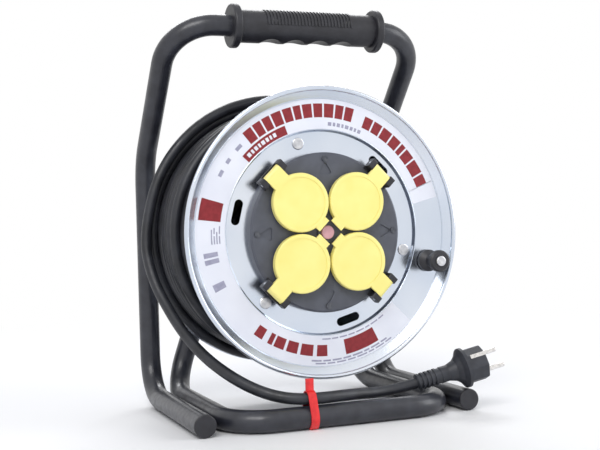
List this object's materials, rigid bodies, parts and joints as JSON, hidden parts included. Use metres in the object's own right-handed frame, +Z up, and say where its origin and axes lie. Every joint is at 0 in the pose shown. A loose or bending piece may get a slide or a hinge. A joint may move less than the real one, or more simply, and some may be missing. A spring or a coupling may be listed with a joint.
{
  "type": "extension cord reel",
  "caption": "Cable reel on a bent tube stand with a carrying grip, a crank knob, hinged round socket lids, wound cable and a mains plug.",
  "frame": {"origin": "on the floor, under the middle of the tubular stand", "axes": "+X to the right seen from the socket side, +Y to the rear, +Z up; the drum turns about +Y"},
  "size_m": [0.3267, 0.2358, 0.4112],
  "materials": {
    "coated_steel": "satin black powder coat",
    "galvanised_steel": "galvanised, faint spangle",
    "zinc_plated": "zinc plated",
    "nickel": "bright nickel",
    "brass": "plain",
    "yellow_plastic": "semi-gloss",
    "grey_plastic": "fine texture",
    "black_plastic": "moulded",
    "pink_plastic": "moulded",
    "cable_rubber": "smooth jacket",
    "seal_rubber": "soft",
    "label_film": "printed film, bare",
    "red_plastic": "strap"
  },
  "bodies": {
    "frame": {"frame_tube": "coated_steel", "stand_tube": "coated_steel", "foot_end_caps": "black_plastic", "stand_end_caps": "black_plastic", "handle_grip": "black_plastic", "grip_collars": "black_plastic", "cross_bar": "coated_steel", "crossbar_bolts": "zinc_plated", "axle_flange": "coated_steel", "axle": "zinc_plated", "axle_nut": "zinc_plated", "axle_washer": "zinc_plated", "axle_spacer": "zinc_plated", "cable_tail": "cable_rubber", "plug_boot": "cable_rubber", "plug_body": "cable_rubber", "plug_earth_clips": "nickel", "plug_pins": "nickel", "cable_strap": "red_plastic"},
    "drum": {"bearing_bolts": "zinc_plated", "cable_winding": "cable_rubber", "core_rivets": "zinc_plated", "drum_core": "galvanised_steel", "front_flange": "galvanised_steel", "hinge_bracket_1": "black_plastic", "hinge_bracket_2": "black_plastic", "hinge_bracket_3": "black_plastic", "hinge_bracket_4": "black_plastic", "hinge_pins": "zinc_plated", "hub_bearing": "black_plastic", "inlet_grommet": "black_plastic", "knob_spindle": "zinc_plated", "knob_washer": "zinc_plated", "label_ring": "label_film", "live_rail": "brass", "neutral_rail": "brass", "plate_screws": "zinc_plated", "rear_flange": "galvanised_steel", "socket_earth_clips": "nickel", "socket_insert_1": "grey_plastic", "socket_insert_2": "grey_plastic", "socket_insert_3": "grey_plastic", "socket_insert_4": "grey_plastic", "socket_plate": "grey_plastic", "terminal_block": "black_plastic", "thermal_cutout": "black_plastic"},
    "lid_1": {"lid_1": "yellow_plastic", "lid_gasket_1": "seal_rubber"},
    "lid_2": {"lid_2": "yellow_plastic", "lid_gasket_2": "seal_rubber"},
    "lid_3": {"lid_3": "yellow_plastic", "lid_gasket_3": "seal_rubber"},
    "lid_4": {"lid_4": "yellow_plastic", "lid_gasket_4": "seal_rubber"},
    "knob": {"knob_sleeve": "black_plastic"},
    "reset_button": {"reset_button": "pink_plastic"}
  },
  "joints": [
    {"name": "drum_spin", "type": "hinge", "parent": "frame", "child": "drum", "pos_m": [0, 0, 0.181], "axis": [0, 1, 0], "continuous": true},
    {"name": "lid_hinge_1", "type": "hinge", "parent": "drum", "child": "lid_1", "pos_m": [0.05657, -0.0775, 0.23757], "axis": [-0.7071, 0, 0.7071], "range_deg": [0, 110], "stiffness_Nm_per_rad": 0.01, "springref_deg": -45.84},
    {"name": "lid_hinge_2", "type": "hinge", "parent": "drum", "child": "lid_2", "pos_m": [-0.05657, -0.0775, 0.23757], "axis": [-0.7071, 0, -0.7071], "range_deg": [0, 110], "stiffness_Nm_per_rad": 0.01, "springref_deg": -45.84},
    {"name": "lid_hinge_3", "type": "hinge", "parent": "drum", "child": "lid_3", "pos_m": [-0.05657, -0.0775, 0.12443], "axis": [0.7071, 0, -0.7071], "range_deg": [0, 110], "stiffness_Nm_per_rad": 0.01, "springref_deg": -45.84},
    {"name": "lid_hinge_4", "type": "hinge", "parent": "drum", "child": "lid_4", "pos_m": [0.05657, -0.0775, 0.12443], "axis": [0.7071, 0, 0.7071], "range_deg": [0, 110], "stiffness_Nm_per_rad": 0.01, "springref_deg": -45.84},
    {"name": "knob_spin", "type": "hinge", "parent": "drum", "child": "knob", "pos_m": [0.1125, -0.08, 0.149], "axis": [0, 1, 0], "continuous": true},
    {"name": "reset_press", "type": "slide", "parent": "drum", "child": "reset_button", "axis": [0, 1, 0], "range_m": [0, 0.0025], "stiffness_N_per_m": 400, "springref_m": -0.002}
  ]
}
